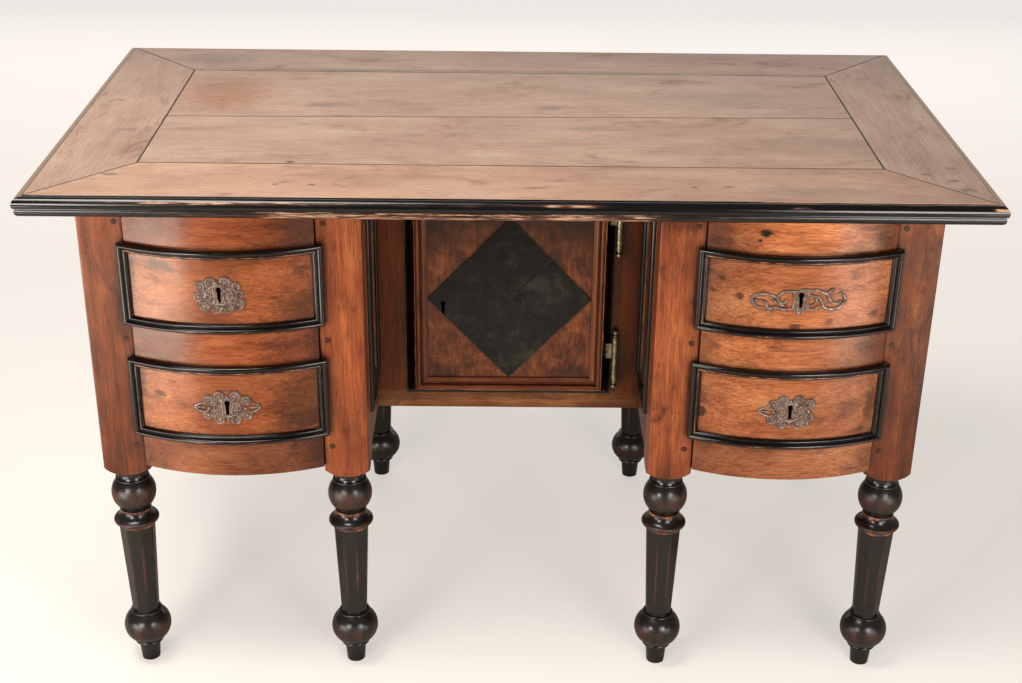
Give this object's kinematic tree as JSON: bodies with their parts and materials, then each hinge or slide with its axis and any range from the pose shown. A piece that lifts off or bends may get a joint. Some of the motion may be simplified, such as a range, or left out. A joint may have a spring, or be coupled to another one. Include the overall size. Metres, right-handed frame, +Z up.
{
  "type": "kneehole desk",
  "caption": "Walnut kneehole desk with bow-front drawer pedestals on turned legs, a recessed cupboard with a hinged door, and ebonised mouldings.",
  "frame": {"origin": "on the floor under the centre of the top", "axes": "+X to the sitter's right along the width, +Y from the front to the back, +Z up"},
  "size_m": [1.2796, 0.7246, 0.79],
  "materials": {
    "walnut": "waxed walnut, satin",
    "walnut_top": "worn waxed walnut, matt",
    "ebonised_wood": "ebonised, satin, rubbed edges",
    "secondary_wood": "bare planed softwood",
    "patinated_bronze": "patinated, dull",
    "iron": "wrought, dull",
    "brass": "worn, dull"
  },
  "bodies": {
    "carcass": {"front_border_board": "walnut_top", "back_border_board": "walnut_top", "left_end_board": "walnut_top", "right_end_board": "walnut_top", "front_plank": "walnut_top", "back_plank": "walnut_top", "top_edge_moulding": "ebonised_wood", "left_inner_front_post": "walnut", "left_inner_back_post": "walnut", "left_outer_front_post": "walnut", "left_outer_back_post": "walnut", "left_legs": "ebonised_wood", "left_bottom_rail": "walnut", "left_middle_rail": "walnut", "left_top_rail": "walnut", "left_side_panels": "walnut", "left_side_mouldings": "ebonised_wood", "left_drawer_runners": "secondary_wood", "right_inner_front_post": "walnut", "right_inner_back_post": "walnut", "right_outer_front_post": "walnut", "right_outer_back_post": "walnut", "right_legs": "ebonised_wood", "right_bottom_rail": "walnut", "right_middle_rail": "walnut", "right_top_rail": "walnut", "right_side_panels": "walnut", "right_side_mouldings": "ebonised_wood", "right_drawer_runners": "secondary_wood", "back_panels": "secondary_wood", "joint_pegs": "walnut", "cupboard_face_frame": "walnut", "cupboard_bottom": "secondary_wood", "hinge_frame_leaves": "brass"},
    "left_upper_drawer": {"left_upper_drawer_front": "walnut", "left_upper_drawer_box": "secondary_wood", "left_upper_drawer_lip": "ebonised_wood", "left_upper_escutcheon": "patinated_bronze", "left_upper_drawer_lock": "iron"},
    "left_lower_drawer": {"left_lower_drawer_front": "walnut", "left_lower_drawer_box": "secondary_wood", "left_lower_drawer_lip": "ebonised_wood", "left_lower_escutcheon": "patinated_bronze", "left_lower_drawer_lock": "iron"},
    "right_upper_drawer": {"right_upper_drawer_front": "walnut", "right_upper_drawer_box": "secondary_wood", "right_upper_drawer_lip": "ebonised_wood", "right_upper_escutcheon": "patinated_bronze", "right_upper_drawer_lock": "iron"},
    "right_lower_drawer": {"right_lower_drawer_front": "walnut", "right_lower_drawer_box": "secondary_wood", "right_lower_drawer_lip": "ebonised_wood", "right_lower_escutcheon": "patinated_bronze", "right_lower_drawer_lock": "iron"},
    "cupboard_door": {"door_board": "walnut", "door_lip_moulding": "ebonised_wood", "door_inner_moulding": "walnut", "door_lozenge": "ebonised_wood", "hinge_door_leaves": "brass", "door_lock": "iron"}
  },
  "joints": [
    {"name": "left_upper_drawer_slide", "type": "slide", "parent": "carcass", "child": "left_upper_drawer", "axis": [0, -1, 0], "range_m": [0, 0.42]},
    {"name": "left_lower_drawer_slide", "type": "slide", "parent": "carcass", "child": "left_lower_drawer", "axis": [0, -1, 0], "range_m": [0, 0.42]},
    {"name": "right_upper_drawer_slide", "type": "slide", "parent": "carcass", "child": "right_upper_drawer", "axis": [0, -1, 0], "range_m": [0, 0.42]},
    {"name": "right_lower_drawer_slide", "type": "slide", "parent": "carcass", "child": "right_lower_drawer", "axis": [0, -1, 0], "range_m": [0, 0.42]},
    {"name": "cupboard_door_hinge", "type": "hinge", "parent": "carcass", "child": "cupboard_door", "pos_m": [0.16, -0.117, 0.545], "axis": [0, 0, 1], "range_deg": [0, 90]}
  ]
}
